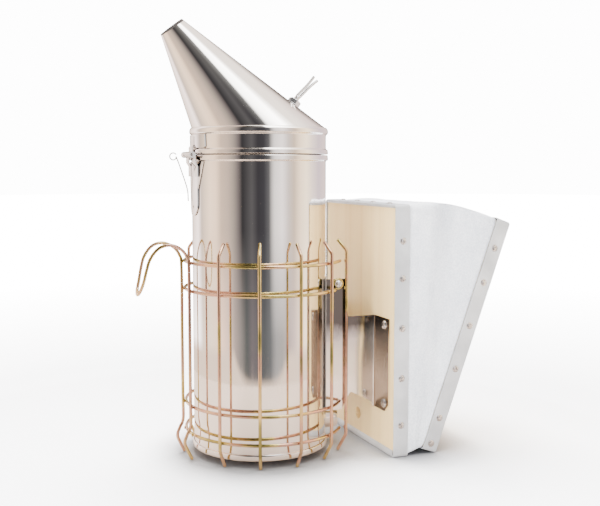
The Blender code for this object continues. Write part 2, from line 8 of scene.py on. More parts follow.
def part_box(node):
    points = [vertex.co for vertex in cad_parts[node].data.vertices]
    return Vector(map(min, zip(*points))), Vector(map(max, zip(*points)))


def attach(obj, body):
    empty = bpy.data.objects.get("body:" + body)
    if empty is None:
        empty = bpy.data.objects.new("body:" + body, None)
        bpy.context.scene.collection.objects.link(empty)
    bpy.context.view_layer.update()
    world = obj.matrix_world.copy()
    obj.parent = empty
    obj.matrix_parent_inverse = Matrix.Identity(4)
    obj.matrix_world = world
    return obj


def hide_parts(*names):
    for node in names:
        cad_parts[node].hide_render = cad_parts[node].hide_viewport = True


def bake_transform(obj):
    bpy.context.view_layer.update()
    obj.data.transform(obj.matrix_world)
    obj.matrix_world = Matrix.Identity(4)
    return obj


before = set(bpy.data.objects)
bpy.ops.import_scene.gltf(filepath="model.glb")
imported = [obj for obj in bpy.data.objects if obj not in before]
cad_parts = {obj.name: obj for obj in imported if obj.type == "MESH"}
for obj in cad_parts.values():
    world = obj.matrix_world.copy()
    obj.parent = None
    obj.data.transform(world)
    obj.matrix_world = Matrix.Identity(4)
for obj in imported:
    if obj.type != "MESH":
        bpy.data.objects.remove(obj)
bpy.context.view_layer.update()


# Camera ------------------------------------------------------
# The smoker is seen from the left of its bellows, at about the height of the pot's rim, with the
# camera tipped slightly down.

camera_data = bpy.data.cameras.new("camera")
camera_data.sensor_width = 36.0
camera_data.lens = 55.04
camera = bpy.data.objects.new("camera", camera_data)
camera.location = (-0.2340, -0.6626, 0.2134)
camera.rotation_euler = (math.radians(90 - 5.34), 0, math.radians(-22))
bpy.context.scene.collection.objects.link(camera)
bpy.context.scene.camera = camera


# Fire pot wall -----------------------------------------------
# A cylinder rolled from mirror-polished stainless sheet, its top edge curled over into a bead and
# its wall pierced low down for the air tube. Faint polishing lines run up and down it.

class Flow:
    """A value that flows through one material's nodes. Sums and products on it add Math nodes."""

    def __init__(self, tree, socket=None):
        self.tree = tree
        self.socket = socket

    def node(self, kind, settings=None, sockets=None, output=0):
        """Adds a node: its settings are set first, then the values or links of its sockets."""
        made = self.tree.nodes.new(kind)
        for name, value in (settings or {}).items():
            if name == "stops":
                ramp = made.color_ramp
                while len(ramp.elements) < len(value):
                    ramp.elements.new(0.5)
                for element, (position, *colour) in zip(ramp.elements, value):
                    element.position = position
                    element.color = (*colour, 1.0)
            else:
                setattr(made, name, value)
        for name, value in (sockets or {}).items():
            if isinstance(value, Flow):
                self.tree.links.new(value.socket, made.inputs[name])
            else:
                made.inputs[name].default_value = value
        return Flow(self.tree, made.outputs[output])

    def math(self, operation, first, second):
        return self.node("ShaderNodeMath", {"operation": operation}, {0: first, 1: second})

    def __add__(self, other):
        return self.math("ADD", self, other)

    def __sub__(self, other):
        return self.math("SUBTRACT", self, other)

    def __mul__(self, other):
        return self.math("MULTIPLY", self, other)

    def __pow__(self, other):
        return self.math("POWER", self, other)

    __radd__ = __add__
    __rmul__ = __mul__

    def place(self, axis=None):
        """Where a point lies in its piece's own coordinates, or one axis of that."""
        where = self.node("ShaderNodeTexCoord", output="Object")
        return where if axis is None else self.node("ShaderNodeSeparateXYZ", None, {0: where}, axis)

    def noise(self, scale, detail=3.0, roughness=0.5, distortion=0.0):
        """Noise over the piece's own coordinates; a scale of three numbers stretches it."""
        where = self.place()
        if not isinstance(scale, (int, float)):
            where = self.node("ShaderNodeVectorMath", {"operation": "MULTIPLY"},
                              {0: where, 1: scale})
            scale = 1.0
        return self.node("ShaderNodeTexNoise", None, {
            "Vector": where, "Scale": scale, "Detail": detail, "Roughness": roughness,
            "Distortion": distortion})

    def ramp(self, *stops):
        """A colour ramp on this value; each stop is its position, red, green and blue."""
        return self.node("ShaderNodeValToRGB", {"stops": stops}, {"Fac": self})

    def rise(self, low, high):
        """This value stretched so that low becomes 0 and high becomes 1, and held there."""
        return self.node("ShaderNodeMapRange", None, {
            "Value": self, "From Min": low, "From Max": high, "To Min": 0.0, "To Max": 1.0})

    def blend(self, first, second):
        """A colour that goes from the first to the second as this value goes from 0 to 1."""
        return self.node("ShaderNodeMix", {"data_type": "RGBA"},
                         {"Factor": self, 6: first, 7: second}, output=2)


def start_finish(name, **fixed):
    """A new material, its shader with the fixed values set, and a Flow to grow nodes from."""
    material = bpy.data.materials.new(name)
    material.use_nodes = True
    shader = material.node_tree.nodes["Principled BSDF"]
    for words, value in fixed.items():
        shader.inputs[words.replace("_", " ")].default_value = value
    return material, shader, Flow(material.node_tree)


def feed(flow, shader, **values):
    """Links flows to the shader's sockets; a height in metres goes in through a Bump node."""
    for words, value in values.items():
        if words == "Height":
            value = flow.node("ShaderNodeBump", None,
                              {"Height": value, "Distance": 1.0, "Strength": 1.0})
            words = "Normal"
        flow.tree.links.new(value.socket, shader.inputs[words.replace("_", " ")])


def mirror_steel(name, lines, pale=(0.88, 0.84, 0.81, 1), deep=(0.82, 0.78, 0.745, 1), haze=0.03):
    """Polished stainless: lines is how often the polishing lines repeat per metre along X, Y, Z."""
    material, shader, flow = start_finish(name, Metallic=1.0)
    scratches = flow.noise(lines, 4.0, 0.6)
    smears = flow.noise(26.0, 4.0, 0.55).rise(0.38, 0.72)
    waves = flow.noise((9.0, 9.0, 5.0), 1.0)
    feed(flow, shader, Base_Color=smears.blend(pale, deep),
         Roughness=haze + 0.05 * smears + 0.06 * scratches.rise(0.45, 0.8),
         Height=0.0000012 * scratches + 0.00022 * waves)
    return material


def soften(profile, radius, closed=True, steps=3, hold=0.0004):
    """Rounds a (radius, height) outline's corners and holds its straight runs straight."""
    count = len(profile)
    points = [Vector(point) for point in profile]
    rounded = []
    for i, corner in enumerate(points):
        if not closed and i in (0, count - 1):
            rounded.append(corner)
            continue
        before, after = points[i - 1], points[(i + 1) % count]
        reach = min(radius, 0.42 * (before - corner).length, 0.42 * (after - corner).length)
        start = corner + (before - corner).normalized() * reach
        end = corner + (after - corner).normalized() * reach
        for step in range(steps + 1):
            t = step / steps
            rounded.append(start * (1 - t) ** 2 + corner * 2 * t * (1 - t) + end * t * t)
    held = []
    ends = rounded[1:] + rounded[:1] if closed else rounded[1:]
    for first, second in zip(rounded, ends):
        held.append(first)
        run = second - first
        if run.length > 3 * hold:
            held += [first + run.normalized() * hold, second - run.normalized() * hold]
    if not closed:
        held.append(rounded[-1])
    return held


def mesh_piece(name, shape, material):
    """Makes a smooth-shaded object of a bmesh."""
    for face in shape.faces:
        face.smooth = True
    mesh = bpy.data.meshes.new(name)
    shape.to_mesh(mesh)
    shape.free()
    mesh.materials.append(material)
    piece = bpy.data.objects.new(name, mesh)
    bpy.context.scene.collection.objects.link(piece)
    return piece


def skin(shape, rings, closed=False, flip=False):
    """Faces from each ring of points to the next. A ring may be one point many times over."""
    for ring, next_ring in zip(rings, rings[1:] + (rings[:1] if closed else [])):
        for i in range(len(ring)):
            j = (i + 1) % len(ring)
            corners = (ring[i], next_ring[i], next_ring[j], ring[j])
            if flip:
                corners = (ring[i], ring[j], next_ring[j], next_ring[i])
            corners = list(dict.fromkeys(corners))
            if len(corners) > 2:
                shape.faces.new(corners)


def lathe(name, profile, material, steps=160, closed=True):
    """Turns (radius, height) points, which run down the outer side, about the Z axis."""
    shape = bmesh.new()
    turns = [2 * math.pi * i / steps for i in range(steps)]
    rings = []
    for radius, height in profile:
        if radius < 1e-6:
            rings.append([shape.verts.new((0, 0, height))] * steps)
        else:
            spots = [(radius * math.cos(turn), radius * math.sin(turn)) for turn in turns]
            rings.append([shape.verts.new((*spot, height)) for spot in spots])
    skin(shape, rings, closed)
    return mesh_piece(name, shape, material)


def settle(piece, *tools):
    """Applies a piece's modifiers to its mesh and removes the tools that cut it."""
    bpy.context.view_layer.update()
    seen = piece.evaluated_get(bpy.context.evaluated_depsgraph_get())
    piece.data = bpy.data.meshes.new_from_object(seen)
    piece.modifiers.clear()
    for tool in tools:
        bpy.data.objects.remove(tool)
    return piece


def cut(piece, tool, operation="DIFFERENCE"):
    """Cuts a piece with a closed tool, or joins them, and keeps the result."""
    modifier = piece.modifiers.new("cut", "BOOLEAN")
    modifier.operation = operation
    modifier.object = tool
    return settle(piece, tool)


def bar(start, end, radius, sides=48):
    """A plain round bar between two points, for cutting bores."""
    start, end = Vector(start), Vector(end)
    turn = (end - start).to_track_quat("Z", "Y").to_matrix().to_4x4()
    shape = bmesh.new()
    bmesh.ops.create_cone(shape, cap_ends=True, segments=sides, radius1=radius, radius2=radius,
                          depth=(end - start).length,
                          matrix=Matrix.Translation((start + end) / 2) @ turn)
    return mesh_piece("bar", shape, bpy.data.materials.get("bar") or bpy.data.materials.new("bar"))


def stand_in(piece, body, slot, *nodes):
    """Rides a finished piece on its body and takes the plain solids' place. Its slot is not used.
    """
    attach(piece, body)
    if nodes:
        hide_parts(*nodes)
    return piece


SHEET = 0.0007
pot_low, pot_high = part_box("pot_body")
BEAD = pot_high.x
POT = BEAD - 0.0016
RIM = pot_high.z
polish = mirror_steel("pot_polish", (700.0, 700.0, 5.0))

pot_profile = soften([
    (POT - SHEET, RIM - 0.0002), (BEAD - 0.0002, RIM), (BEAD, RIM - 0.0040),
    (POT + 0.0002, RIM - 0.0044), (POT, RIM - 0.0052), (POT, pot_low.z + 0.0002),
    (POT - SHEET, pot_low.z)], 0.0009)
pot_wall = lathe("pot_wall", pot_profile, polish, 192)
inlet_low, inlet_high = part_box("inlet_tube")
INLET_Z = (inlet_low.z + inlet_high.z) / 2
INLET = (inlet_high.z - inlet_low.z) / 2
cut(pot_wall, bar((0.040, 0, INLET_Z), (0.060, 0, INLET_Z), INLET + 0.0001))
stand_in(pot_wall, "smoker_frame", "mirror_steel", "pot_body")


# Pot base ----------------------------------------------------
# A shallow dish pressed from the same polished sheet. Its middle stands clear of the ground and
# its rim is crimped round the wall's foot.

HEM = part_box("pot_base")[1].x
pot_base = lathe("pot_base_dish", soften([
    (0, 0.0016), (0.040, 0.0016), (0.043, 0.0010), (POT + 0.0002, 0.0010), (POT + 0.0002, 0.0044),
    (HEM - 0.0003, 0.0046), (HEM, 0.0036), (HEM, 0.0010), (HEM - 0.0005, 0.0001),
    (0.044, 0), (0.041, 0.0006), (0, 0.0006)], 0.0005, closed=False), polish, 192, closed=False)
stand_in(pot_base, "smoker_frame", "mirror_steel", "pot_base")


# Air tube ----------------------------------------------------
# A short steel tube pushed through the wall's hole and held by a swaged ring at the wall. Its
# mouth faces the hole in the front board.

tube = lathe("air_tube", soften([
    (INLET - SHEET, inlet_high.x), (INLET, inlet_high.x), (INLET, POT + 0.0008),
    (INLET + 0.0012, POT + 0.0003), (INLET, POT - 0.0002), (INLET, inlet_low.x),
    (INLET - SHEET, inlet_low.x)], 0.0002), mirror_steel("tube_polish", (5.0, 500.0, 500.0)), 64)
tube.data.transform(Matrix.Translation((0, 0, INLET_Z)) @ Matrix.Rotation(math.radians(90), 4, "Y"))
stand_in(tube, "smoker_frame", "mirror_steel", "inlet_tube")


# Fire grate --------------------------------------------------
# A punched plate on three wire feet that keeps the fuel off the air tube. Plain steel, blued and
# sooty from the fire.

blued, shader, flow = start_finish("blued_steel", Metallic=1.0)
patches = flow.noise(60.0, 5.0, 0.6)
feed(flow, shader, Base_Color=patches.ramp(
    (0.3, 0.10, 0.10, 0.13), (0.55, 0.25, 0.22, 0.20), (0.8, 0.42, 0.36, 0.28)),
     Roughness=0.3 + 0.3 * patches, Height=0.00002 * flow.noise(900.0))
for node in ("fire_grate", "grate_foot_1", "grate_foot_2", "grate_foot_3"):
    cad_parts[node].data.materials.clear()
    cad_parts[node].data.materials.append(blued)


# Bellows bracket ---------------------------------------------
# One sheet of polished steel folded into a channel: it hugs the pot's back, its two walls stand
# out past the guard, and its flanges are screwed to the front board.

def ribbon(path, thickness):
    """A closed outline that follows a path of 2D points at half the thickness to each side."""
    left, right = [], []
    for i, point in enumerate(path):
        ahead = path[min(i + 1, len(path) - 1)] - path[max(i - 1, 0)]
        side = Vector((-ahead.y, ahead.x)).normalized() * thickness / 2
        left.append(point + side)
        right.append(point - side)
    return left + right[::-1]


def slab(name, outline, low, high, turn, material):
    """An outline's prism between two levels, turned into place."""
    shape = bmesh.new()
    floor = [shape.verts.new((*point, low)) for point in outline]
    roof = [shape.verts.new((*point, high)) for point in outline]
    shape.faces.new(floor[::-1])
    shape.faces.new(roof)
    for i in range(len(outline)):
        after = (i + 1) % len(outline)
        shape.faces.new((floor[i], floor[after], roof[after], roof[i]))
    bmesh.ops.recalc_face_normals(shape, faces=shape.faces)
    shape.transform(turn)
    return mesh_piece(name, shape, material)


def round_edges(piece, width, segments=2, angle=35):
    """Breaks a piece's sharp edges and keeps its flat faces flat in the light."""
    bevel = piece.modifiers.new("edges", "BEVEL")
    bevel.width = width
    bevel.segments = segments
    bevel.limit_method = "ANGLE"
    bevel.angle_limit = math.radians(angle)
    bevel.harden_normals = True
    return settle(piece)


def toward(degrees):
    """The 2D direction at an angle."""
    return Vector((math.cos(math.radians(degrees)), math.sin(math.radians(degrees))))


def arc(centre, radius, start, end, steps):
    """2D points on an arc; angles in degrees."""
    return [Vector(centre) + radius * toward(start + (end - start) * i / steps)
            for i in range(steps + 1)]


ON_XZ = Matrix(((1, 0, 0, 0), (0, 0, -1, 0), (0, 1, 0, 0), (0, 0, 0, 1)))
ON_YZ = Matrix(((0, 0, 1, 0), (1, 0, 0, 0), (0, 1, 0, 0), (0, 0, 0, 1)))
bracket_low, bracket_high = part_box("bellows_bracket")
WALL = 0.031
HUG = POT + 0.0007
FACE = bracket_high.x - SHEET / 2
BEND = 0.0016
wall_angle = math.degrees(math.asin(WALL / HUG))
half_plan = arc((0, 0), HUG, 0, wall_angle - 2, 10)
half_plan += [Vector((HUG * math.cos(math.radians(wall_angle)) + 0.0012, WALL))]
half_plan += arc((FACE - BEND, WALL + BEND), BEND, -90, 0, 5) + [Vector((FACE, bracket_high.y))]
plan = [Vector((point.x, -point.y)) for point in half_plan[:0:-1]] + half_plan
# Seen from the side: a tall tab against the pot, a step down to the board, a notch at the foot
STEP = 0.0995
TAB = 0.0597
side = [(0.030, bracket_low.z), (0.0555, bracket_low.z)]
side += arc((0.0645, 0.0375), 0.003, 170, 100, 6)
side += [(0.081, 0.0312), (0.0822, bracket_low.z), (0.090, bracket_low.z), (0.090, STEP)]
side += arc((TAB + 0.003, STEP + 0.003), 0.003, 270, 180, 6)
side += arc((TAB - 0.003, bracket_high.z - 0.003), 0.003, 0, 90, 6)
side += [(0.030, bracket_high.z)]
bracket_polish = mirror_steel("bracket_polish", (500.0, 500.0, 8.0), haze=0.10)
# Its upper end, nearest the fire, is painted near black with a soft, noisy edge, a painted dark
# reflection
shader = bracket_polish.node_tree.nodes["Principled BSDF"]
flow = Flow(bracket_polish.node_tree, shader.inputs["Base Color"].links[0].from_socket)
painted_dark_reflection = flow.place("Z") + 0.010 * flow.noise((160.0, 160.0, 70.0), 4.0, 0.6)
painted_dark_reflection = painted_dark_reflection.rise(0.0860, 0.0990)
feed(flow, shader, Base_Color=(painted_dark_reflection * 0.93).blend(flow, (0.085, 0.080, 0.078, 1)))
satin, shader, flow = start_finish("bracket_hug", Metallic=0.55, Roughness=0.4)
feed(flow, shader, Base_Color=flow.noise(90.0, 4.0).blend(
    (0.42, 0.39, 0.37, 1), (0.56, 0.53, 0.50, 1)))
# Steel for the flanges, coloured tan as a painted reflection of the wood
flange_brush_and_reflection = mirror_steel("flange_brush_and_reflection", (500.0, 500.0, 8.0), pale=(0.47, 0.40, 0.325, 1),
                            deep=(0.36, 0.30, 0.24, 1), haze=0.22)
bracket = slab("bracket_channel", ribbon(plan, SHEET), 0, 0.16, Matrix.Identity(4), bracket_polish)
cut(bracket, slab("bracket_side", side, -0.07, 0.07, ON_XZ, bracket_polish), "INTERSECT")
corner = bracket_high.y - 0.0060
chamfer = [(corner, 0), (0.08, 0), (0.08, 0.045), (bracket_high.y, bracket_low.z + 0.006),
           (corner, bracket_low.z)]
for sign in (-1, 1):
    outline = [(sign * y, z) for y, z in chamfer]
    cut(bracket, slab("bracket_corner", outline, 0.07, 0.10, ON_YZ, bracket_polish))
round_edges(bracket, 0.00015, 1, 50)
# The part that hugs the pot is left satin, and the flanges are brush-finished and coloured tan, a
# painted reflection of the wood
bracket.data.materials.append(satin)
bracket.data.materials.append(flange_brush_and_reflection)
flange_index = len(bracket.data.materials) - 1
for face in bracket.data.polygons:
    if math.hypot(face.center.x, face.center.y) < POT + 0.0028:
        face.material_index = flange_index - 1
    elif face.center.x > FACE - BEND / 2 and abs(face.normal.x) > 0.7:
        face.material_index = flange_index
stand_in(bracket, "smoker_frame", "mirror_steel", "bellows_bracket")


# Heat guard --------------------------------------------------
# A cage of steel wire, spot-welded where it crosses and then zinc plated and passivated, which
# leaves a yellow film that shifts to rose and olive along the wires.

def zinc_wire(name):
    material, shader, flow = start_finish(name, Metallic=1.0)
    drift = flow.noise((30.0, 30.0, 22.0), 3.0, 0.55)
    spots = flow.noise(700.0, 3.0, 0.6)
    film = drift.ramp(
        (0.28, 0.22, 0.21, 0.08), (0.38, 0.38, 0.33, 0.12), (0.45, 0.64, 0.51, 0.21),
        (0.51, 0.64, 0.43, 0.27), (0.58, 0.60, 0.36, 0.28), (0.70, 0.36, 0.30, 0.14))
    feed(flow, shader, Base_Color=film, Roughness=0.17 + 0.10 * spots.rise(0.35, 0.75),
         Height=0.0000008 * spots)
    return material


def catmull(knots, steps=6):
    """A smooth curve through every knot."""
    knots = [Vector(knot) for knot in knots]
    padded = [2 * knots[0] - knots[1], *knots, 2 * knots[-1] - knots[-2]]
    route = []
    for a, b, c, d in zip(padded, padded[1:], padded[2:], padded[3:]):
        for i in range(steps):
            t = i / steps
            route.append(0.5 * (2 * b + (c - a) * t + (2 * a - 5 * b + 4 * c - d) * t * t
                                + (3 * b - a - 3 * c + d) * t ** 3))
    route.append(knots[-1])
    return route


def bent(corners, radius, steps=8):
    """Straight stretches joined by round bends, as a bending jig leaves them."""
    corners = [Vector(corner) for corner in corners]
    route = [corners[0]]
    for before, corner, after in zip(corners, corners[1:], corners[2:]):
        back, ahead = (before - corner).normalized(), (after - corner).normalized()
        half = back.angle(ahead) / 2
        reach = radius / math.tan(half)
        centre = corner + (back + ahead).normalized() * radius / math.sin(half)
        first = (corner + back * reach - centre).normalized()
        last = (corner + ahead * reach - centre).normalized()
        route += [centre + radius * first.slerp(last, i / steps) for i in range(steps + 1)]
    route.append(corners[-1])
    return route


def sweep(name, route, radius, material, sides=14, ends=0.35):
    """A round wire along a route, its cut ends slightly rounded over."""
    shape = bmesh.new()
    tangents = []
    for i in range(len(route)):
        tangents.append((route[min(i + 1, len(route) - 1)] - route[max(i - 1, 0)]).normalized())
    side = tangents[0].orthogonal().normalized()
    stations = [(route[0], 1 - ends, tangents[0]),
                (route[0] + tangents[0] * radius * ends, 1.0, tangents[0])]
    stations += [(spot, 1.0, tangent) for spot, tangent in zip(route[1:-1], tangents[1:-1])]
    stations += [(route[-1] - tangents[-1] * radius * ends, 1.0, tangents[-1]),
                 (route[-1], 1 - ends, tangents[-1])]
    rings = []
    for spot, share, tangent in stations:
        side = (side - tangent * side.dot(tangent)).normalized()
        other = tangent.cross(side)
        rings.append([shape.verts.new(spot + radius * share * (
            math.cos(2 * math.pi * i / sides) * side + math.sin(2 * math.pi * i / sides) * other))
            for i in range(sides)])
    skin(shape, rings, flip=True)
    shape.faces.new(rings[0][::-1])
    shape.faces.new(rings[-1])
    return mesh_piece(name, shape, material)


yellow_zinc = zinc_wire("yellow_zinc")
ring_low, ring_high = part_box("guard_ring_1")
WIRE = (ring_high.z - ring_low.z) / 2
RING = ring_high.y - WIRE
GUARD_X = ring_low.x + WIRE + RING
UPRIGHT = RING + 2 * WIRE + 0.0001
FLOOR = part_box("front_strip")[0].z
EYE = 0.0033
EYE_X = 0.0516
eye_y = WALL + SHEET / 2 + WIRE + 0.0003

ring_levels = []
for number in range(1, 5):
    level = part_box(f"guard_ring_{number}")[0].z + WIRE
    ring_levels.append(level)
    ends = 47.0 if number == 2 else 33.5
    route = [spot.to_3d() + Vector((0, 0, level))
             for spot in arc((GUARD_X, 0), RING, ends, 360 - ends, 120)]
    if number == 2:
        eye = [Vector((EYE_X + EYE * math.sin(turn), eye_y, level + EYE * (1 - math.cos(turn))))
               for turn in [math.radians(290 - 12 * i) for i in range(25)]]
        eye.append(Vector((EYE_X - 0.0040, eye_y + 0.0004, level)))
        route = eye + route + [Vector((spot.x, -spot.y, spot.z)) for spot in reversed(eye)]
        route = catmull(route, 2)
    stand_in(sweep(f"guard_ring_wire_{number}", route, WIRE, yellow_zinc),
             "smoker_frame", "zinc_wire", f"guard_ring_{number}")

crossings = []
for number, angle in enumerate((None, 56.0, 84.0, 112.0, 140.0), start=1):
    for hand, sign in (("left", 1), ("right", -1)):
        node = f"guard_upright_{hand}_{number}"
        if angle is None:
            stand = Vector((0.0584, sign * 0.0333, 0))
        else:
            spot = UPRIGHT * toward(angle)
            stand = Vector((GUARD_X + spot.x, sign * spot.y, 0))
        inward = Vector((GUARD_X - stand.x, -stand.y, 0)).normalized()
        route = bent([stand + inward * 0.007 + Vector((0, 0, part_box(node)[1].z - 0.0008)),
                      stand + Vector((0, 0, 0.1505)), stand + Vector((0, 0, 0.008)),
                      stand + inward * 0.0065 + Vector((0, 0, FLOOR + 0.0006))], 0.0042)
        stand_in(sweep(f"guard_upright_wire_{hand}_{number}", route, WIRE, yellow_zinc),
                 "smoker_frame", "zinc_wire", node)
        for level in ring_levels:
            crossings.append((stand + inward * WIRE, inward, level))

LEG = 0.0109
leg_x = GUARD_X - math.sqrt(UPRIGHT ** 2 - LEG ** 2)
hook_half = [
    (-0.0010, LEG, FLOOR + 0.0006), (0.0022, LEG, 0.0020), (0.0046, LEG, 0.0088),
    (0.0026, LEG, 0.0150), (0.0, LEG, 0.0215), (0.0, LEG, 0.0400), (0.0, LEG, 0.0900),
    (0.0, LEG, 0.1380), (0.0014, 0.0111, 0.1475), (0.0065, 0.0116, 0.1540),
    (0.0145, 0.0120, 0.1570), (0.0225, 0.0116, 0.1548), (0.0285, 0.0106, 0.1475),
    (0.0312, 0.0096, 0.1390), (0.0332, 0.0082, 0.1300), (0.0352, 0.0054, 0.1232)]
hook_knots = [Vector((leg_x - out, y, z)) for out, y, z in hook_half]
hook_knots += [Vector((leg_x - 0.0361, 0, 0.1203))]
hook_knots += [Vector((leg_x - out, -y, z)) for out, y, z in reversed(hook_half)]
stand_in(sweep("guard_hook_wire", catmull(hook_knots, 8), WIRE, yellow_zinc),
         "smoker_frame", "zinc_wire", "guard_hook")
for y in (-LEG, LEG):
    inward = Vector((GUARD_X - leg_x, -y, 0)).normalized()
    for level in ring_levels:
        crossings.append((Vector((leg_x, y, 0)) + inward * WIRE, inward, level))

# The spot welds: a flattened nugget squeezed out at each crossing
welds = bmesh.new()
for index, (spot, inward, level) in enumerate(crossings):
    nugget = bmesh.ops.create_icosphere(welds, subdivisions=2, radius=1.0)["verts"]
    along = inward.cross(Vector((0, 0, 1)))
    for vert in nugget:
        swell = 1 + 0.25 * noise.noise(vert.co * 1.7 + Vector((index * 3.1, 0, 0)))
        squeezed = inward * vert.co.x * 0.0007 + along * vert.co.y * 0.0014
        squeezed.z = vert.co.z * 0.0014
        vert.co = Vector((spot.x, spot.y, level)) + squeezed * swell
stand_in(mesh_piece("guard_welds", welds, yellow_zinc), "smoker_frame", "zinc_wire")


# Screws ------------------------------------------------------
# Dome-headed cross-recess screws, bright zinc plated: two pinch the second ring's eyes to the
# bracket, and four hold the bracket's flanges to the front board.

bright, shader, flow = start_finish("bright_zinc", Metallic=1.0)
bloom = flow.noise(1400.0, 4.0, 0.6)
feed(flow, shader, Base_Color=bloom.blend((0.82, 0.82, 0.82, 1), (0.62, 0.62, 0.63, 1)),
     Roughness=0.14 + 0.16 * bloom, Height=0.000006 * bloom)


def dome_screw(name, spot, direction, head, height, shank, length, turn):
    """A screw whose head's flat side is on the spot and faces the direction."""
    edge = toward(80)
    dome = [(head * point.y / edge.y, height * (point.x - edge.x) / (1 - edge.x))
            for point in arc((0, 0), 1, 0, 80, 10)]
    dome[0] = (0, height)
    profile = dome + [(head * 0.97, -0.0001), (shank, -0.0001), (shank, -length), (0, -length)]
    screw = lathe(name, profile, bright, 40, closed=False)
    # The cross recess, one slot at a time
    for lean in (0, 90):
        slot = [(x * 0.0003, y * head * 0.62) for x, y in ((-1, -1), (1, -1), (1, 1), (-1, 1))]
        cut(screw, slab("blade", slot, height * 0.45, height * 2,
                        Matrix.Rotation(math.radians(lean + turn), 4, "Z"), bright))
    facing = Vector(direction).to_track_quat("Z", "Y").to_matrix().to_4x4()
    screw.data.transform(Matrix.Translation(spot) @ facing)
    round_edges(screw, 0.00008, 1, 50)
    return screw


for hand, sign in (("left", 1), ("right", -1)):
    low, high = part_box(f"guard_screw_{hand}")
    head_y = sign * (WALL + SHEET / 2 + 2 * WIRE + 0.0004)
    screw = dome_screw(f"eye_screw_{hand}", ((low.x + high.x) / 2, head_y, (low.z + high.z) / 2),
                       (0, sign, 0), (high.x - low.x) / 2, 0.0018, 0.0016, 0.005, 20 * sign)
    stand_in(screw, "smoker_frame", "bright_zinc", f"guard_screw_{hand}")
    for row in (1, 2):
        low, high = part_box(f"board_screw_{hand}_{row}")
        seat = (bracket_high.x - SHEET - 0.0001, (low.y + high.y) / 2, (low.z + high.z) / 2)
        screw = dome_screw(f"flange_screw_{hand}_{row}", seat, (-1, 0, 0), (high.z - low.z) / 2,
                           0.0019, 0.0016, 0.0085, 31 * row * sign)
        stand_in(screw, "smoker_frame", "bright_zinc", f"board_screw_{hand}_{row}")


# Lid hinge, pot side -----------------------------------------
# A tapered strap bent round the pot under the bead, with two knuckles that carry the pin. A thin
# spring wire stands beside it and ends in a curl that the opened lid comes to rest on.

pin_low, pin_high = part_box("hinge_pin")
PIN = Vector(((pin_low.x + pin_high.x) / 2, 0, (pin_low.z + pin_high.z) / 2))
PIN_R = (pin_high.z - pin_low.z) / 2
KNUCKLE_R = 0.0023
hinge_polish = mirror_steel("hinge_polish", (8.0, 400.0, 8.0), pale=(0.80, 0.79, 0.78, 1),
                            deep=(0.62, 0.60, 0.58, 1))


def hinge_half(name, outline, knuckles, arm_high, foot_low, foot_high):
    """A leaf bent round the pot, with arms that carry its knuckles clear of the beads."""
    low = min(z for _, z in outline) - 0.002
    high = max(z for _, z in outline) + 0.002
    leaf = lathe(name, [(POT + 0.0003, high), (POT + 0.0011, high), (POT + 0.0011, low),
                        (POT + 0.0003, low)], hinge_polish, 192)
    cut(leaf, slab("leaf_outline", outline, -0.09, -0.03, ON_YZ, hinge_polish), "INTERSECT")
    for start, end in knuckles:
        near, far = -POT - 0.0007, PIN.x + KNUCKLE_R - 0.0004
        arm = ribbon([Vector((near, foot_low)), Vector((near, foot_high)),
                      Vector((far, (foot_high + arm_high) / 2)), Vector((far, PIN.z))], 0.0008)
        half = (end - start) / 2
        turn = Matrix.Translation((0, (start + end) / 2, 0)) @ ON_XZ
        cut(leaf, slab("arm", arm, -half, half, turn, hinge_polish), "UNION")
        cut(leaf, bar((PIN.x, start, PIN.z), (PIN.x, end, PIN.z), KNUCKLE_R, 32), "UNION")
    cut(leaf, bar((PIN.x, -0.03, PIN.z), (PIN.x, 0.03, PIN.z), PIN_R + 0.0002, 24))
    return round_edges(leaf, 0.00012, 1, 40)


strap_side = [(0.017, 0.2176), (0.0135, 0.2076), (0.0092, 0.197), (0.0088, 0.188)]
strap_outline = [(-y, z) for y, z in strap_side] + arc((0, 0.186), 0.0088, 180, 360, 16)
strap_outline += list(reversed(strap_side))
strap = hinge_half("hinge_strap_leaf", strap_outline, [(-0.012, -0.0046), (0.0046, 0.012)],
                   PIN.z - 0.003, 0.2065, 0.2140)
stand_in(strap, "smoker_frame", "mirror_steel", "hinge_strap")

pin = lathe("hinge_pin_rod", soften([
    (0, pin_high.y), (PIN_R + 0.0005, pin_high.y), (PIN_R + 0.0005, pin_high.y - 0.0009),
    (PIN_R, pin_high.y - 0.0010), (PIN_R, pin_low.y), (0, pin_low.y)], 0.0003, closed=False),
    bright, 24, closed=False)
pin.data.transform(Matrix.Translation(PIN) @ Matrix.Rotation(math.radians(-90), 4, "X"))
stand_in(pin, "smoker_frame", "bright_zinc", "hinge_pin")

CURL = 0.0026
curl = [Vector((-0.0628 - CURL * spot.y, 0.0155, 0.2215 - CURL * spot.x))
        for spot in arc((0, 0), 1, -75, 240, 21)]
stop_knots = [(-0.0530, 0.0098, 0.188), (-0.0534, 0.0110, 0.197), (-0.0569, 0.0134, 0.210)] + curl
stop = sweep("lid_stop_spring", catmull(stop_knots, 5), 0.0005, bright, 10)
stand_in(stop, "smoker_frame", "bright_zinc", "lid_stop_wire")

# The rivets that hold the strap, set from inside the pot
RIVET = 0.0017
rivets = bmesh.new()
for y, z in ((0.0, 0.184), (-0.0085, 0.2135), (0.0085, 0.2135)):
    x = -math.sqrt((POT + 0.0010) ** 2 - y * y)
    ball = bmesh.ops.create_uvsphere(rivets, u_segments=20, v_segments=10, radius=1.0)["verts"]
    for vert in ball:
        vert.co = (x - 0.0007 * max(vert.co.z, -0.3), y + RIVET * vert.co.x, z + RIVET * vert.co.y)
bmesh.ops.recalc_face_normals(rivets, faces=rivets.faces)
stand_in(mesh_piece("strap_rivets", rivets, bright), "smoker_frame", "bright_zinc")


# Lid collar and cone -----------------------------------------
# The collar has a rolled bead at each edge. The leaning cone is one rolled sheet, seamed into the
# collar's upper bead, and its mouth is left as a clean cut edge.

